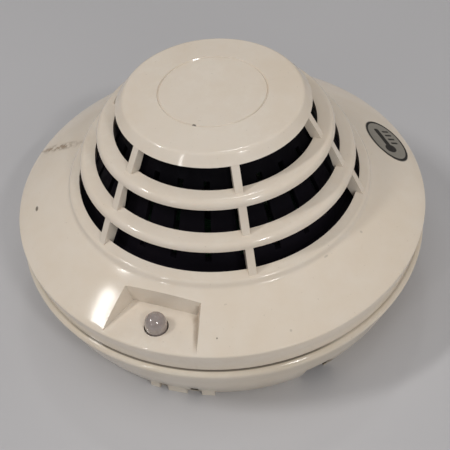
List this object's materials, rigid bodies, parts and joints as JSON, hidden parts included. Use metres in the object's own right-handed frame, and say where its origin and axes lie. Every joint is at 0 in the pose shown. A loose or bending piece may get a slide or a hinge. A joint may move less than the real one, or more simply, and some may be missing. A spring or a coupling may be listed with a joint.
{
  "type": "heat detector",
  "caption": "Round ceiling heat detector: a louvred cream cover with an indicator lamp, on a head that twists off a mounting base with screw terminals.",
  "frame": {"origin": "centre of the mounting base's underside", "axes": "+Z out of the ceiling side, from the base towards the cap; -Y is the side nearest the indicator lamp; +X to the right seen from there"},
  "size_m": [0.1026, 0.1026, 0.054],
  "materials": {
    "cover": "glossy moulded ABS, cream with slight yellowing",
    "base_plastic": "semi-gloss moulded ABS, cream",
    "label": "satin printed grey film",
    "black_plastic": "matt black moulded plastic",
    "epoxy": "dipped black epoxy bead",
    "tinned_wire": "tinned copper wire",
    "board": "green solder mask over glass-fibre board",
    "capacitor": "dark shrink sleeve",
    "ceramic": "fired ceramic",
    "led_epoxy": "milky diffused epoxy",
    "zinc_steel": "zinc plated steel",
    "brass": "stamped brass"
  },
  "bodies": {
    "base": {"mounting_base": "base_plastic", "terminal_contact_1": "brass", "terminal_contact_2": "brass", "terminal_contact_3": "brass", "terminal_contact_4": "brass"},
    "head": {"outer_cover": "cover", "approval_label": "label", "sensor_cage": "black_plastic", "thermistor_bead": "epoxy", "thermistor_leads": "tinned_wire", "thermistor_holder": "black_plastic", "circuit_board": "board", "controller_chip": "black_plastic", "bridge_rectifier": "black_plastic", "electrolytic_capacitor": "capacitor", "chip_resistors": "black_plastic", "chip_capacitors": "ceramic", "led_indicator": "led_epoxy", "led_leads": "tinned_wire", "led_spacer": "black_plastic", "rear_chassis": "base_plastic", "chassis_screws": "zinc_steel", "contact_blade_1": "brass", "contact_blade_2": "brass", "contact_blade_3": "brass", "contact_blade_4": "brass"},
    "clamp_1": {"terminal_clamp_1": "zinc_steel"},
    "screw_1": {"terminal_screw_1": "zinc_steel"},
    "clamp_2": {"terminal_clamp_2": "zinc_steel"},
    "screw_2": {"terminal_screw_2": "zinc_steel"},
    "clamp_3": {"terminal_clamp_3": "zinc_steel"},
    "screw_3": {"terminal_screw_3": "zinc_steel"},
    "clamp_4": {"terminal_clamp_4": "zinc_steel"},
    "screw_4": {"terminal_screw_4": "zinc_steel"}
  },
  "joints": [
    {"name": "head_twist", "type": "hinge", "parent": "base", "child": "head", "pos_m": [0, 0, 0], "axis": [0, 0, 1], "range_deg": [0, 18]},
    {"name": "clamp_1_lift", "type": "slide", "parent": "base", "child": "clamp_1", "axis": [0, 0, 1], "range_m": [0, 0.0019]},
    {"name": "screw_1_turn", "type": "hinge", "parent": "clamp_1", "child": "screw_1", "pos_m": [0.01485, -0.01485, 0.006], "axis": [0, 0, 1], "range_deg": [0, 1370]},
    {"name": "clamp_2_lift", "type": "slide", "parent": "base", "child": "clamp_2", "axis": [0, 0, 1], "range_m": [0, 0.0019]},
    {"name": "screw_2_turn", "type": "hinge", "parent": "clamp_2", "child": "screw_2", "pos_m": [0.01485, 0.01485, 0.006], "axis": [0, 0, 1], "range_deg": [0, 1370]},
    {"name": "clamp_3_lift", "type": "slide", "parent": "base", "child": "clamp_3", "axis": [0, 0, 1], "range_m": [0, 0.0019]},
    {"name": "screw_3_turn", "type": "hinge", "parent": "clamp_3", "child": "screw_3", "pos_m": [-0.01485, 0.01485, 0.006], "axis": [0, 0, 1], "range_deg": [0, 1370]},
    {"name": "clamp_4_lift", "type": "slide", "parent": "base", "child": "clamp_4", "axis": [0, 0, 1], "range_m": [0, 0.0019]},
    {"name": "screw_4_turn", "type": "hinge", "parent": "clamp_4", "child": "screw_4", "pos_m": [-0.01485, -0.01485, 0.006], "axis": [0, 0, 1], "range_deg": [0, 1370]}
  ],
  "couplings": [
    {"joint": "screw_1_turn", "follows": "clamp_1_lift", "rad_per_m": 12566},
    {"joint": "screw_2_turn", "follows": "clamp_2_lift", "rad_per_m": 12566},
    {"joint": "screw_3_turn", "follows": "clamp_3_lift", "rad_per_m": 12566},
    {"joint": "screw_4_turn", "follows": "clamp_4_lift", "rad_per_m": 12566}
  ]
}
